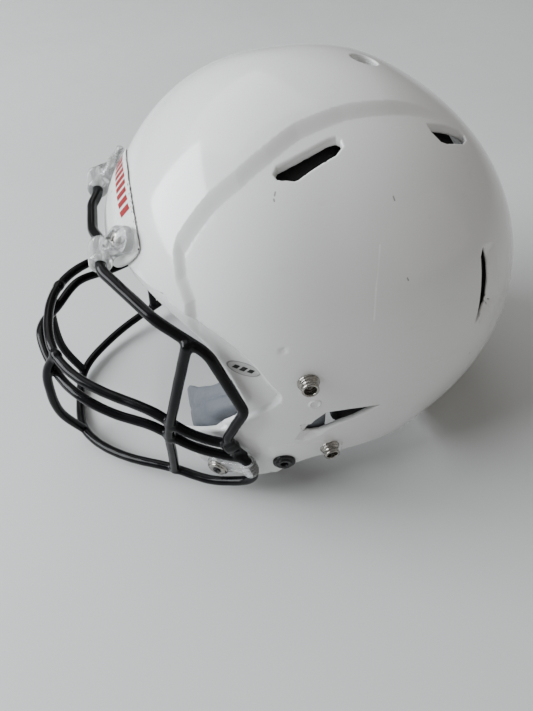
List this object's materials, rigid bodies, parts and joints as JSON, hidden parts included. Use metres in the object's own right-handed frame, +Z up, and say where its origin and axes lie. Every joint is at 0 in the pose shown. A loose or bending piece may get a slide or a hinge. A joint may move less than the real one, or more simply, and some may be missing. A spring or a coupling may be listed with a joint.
{
  "type": "american football helmet",
  "caption": "American football helmet: glossy white shell, black wire face guard swinging on clear top clips, plated chin strap studs, foam liner",
  "frame": {"origin": "bottom centre of the bounding box, on the plane the helmet stands on", "axes": "+Z up, -Y the way the wearer faces, +X the wearer's left; the face guard's hinge runs along X"},
  "size_m": [0.251, 0.3256, 0.2382],
  "materials": {
    "shell": "glossy white polycarbonate",
    "bumper": "glossy white, slightly softer plastic",
    "wire": "black vinyl dipped over steel wire",
    "clear": "clear polycarbonate",
    "plated": "bright plated steel",
    "steel": "zinc plated screw",
    "black": "black plastic",
    "pad": "grey-blue vinyl skin over foam",
    "liner": "black vinyl skin over foam"
  },
  "bodies": {
    "shell": {"helmet_shell": "shell", "front_bumper": "bumper", "rear_bumper": "bumper", "rear_bumper_screws": "steel", "rear_bumper_nuts": "steel", "top_clip_left": "clear", "top_clip_right": "clear", "top_clip_screws": "steel", "top_clip_nuts": "steel", "release_receptacles": "steel", "chin_strap_studs": "plated", "chin_strap_stud_screws": "steel", "chin_strap_stud_nuts": "steel", "jaw_pad_plugs": "black", "jaw_pad_plug_nuts": "steel", "front_pad": "liner", "back_pad": "liner", "crown_pad": "liner", "side_pad_left": "liner", "side_pad_right": "liner", "jaw_pad_left": "pad", "jaw_pad_right": "pad"},
    "face_guard": {"brow_frame_wire": "wire", "upper_bar_wire": "wire", "lower_bar_wire": "wire", "chin_bar_wire": "wire", "centre_vertical_left": "wire", "centre_vertical_right": "wire", "side_vertical_left": "wire", "side_vertical_right": "wire", "gusset_plates": "wire", "side_clip_left": "clear", "side_clip_right": "clear", "release_body_left": "plated", "release_body_right": "plated"},
    "plunger_left": {"release_plunger_left": "black"},
    "plunger_right": {"release_plunger_right": "black"}
  },
  "joints": [
    {"name": "face_guard_swing", "type": "hinge", "parent": "shell", "child": "face_guard", "pos_m": [0, -0.099, 0.163], "axis": [-1, 0, 0], "range_deg": [0, 90]},
    {"name": "release_plunger_left", "type": "slide", "parent": "face_guard", "child": "plunger_left", "axis": [-0.8333, 0.5437, 0.1004], "range_m": [0, 0.003], "stiffness_N_per_m": 600, "springref_m": -0.002},
    {"name": "release_plunger_right", "type": "slide", "parent": "face_guard", "child": "plunger_right", "axis": [0.8333, 0.5437, 0.1004], "range_m": [0, 0.003], "stiffness_N_per_m": 600, "springref_m": -0.002}
  ]
}
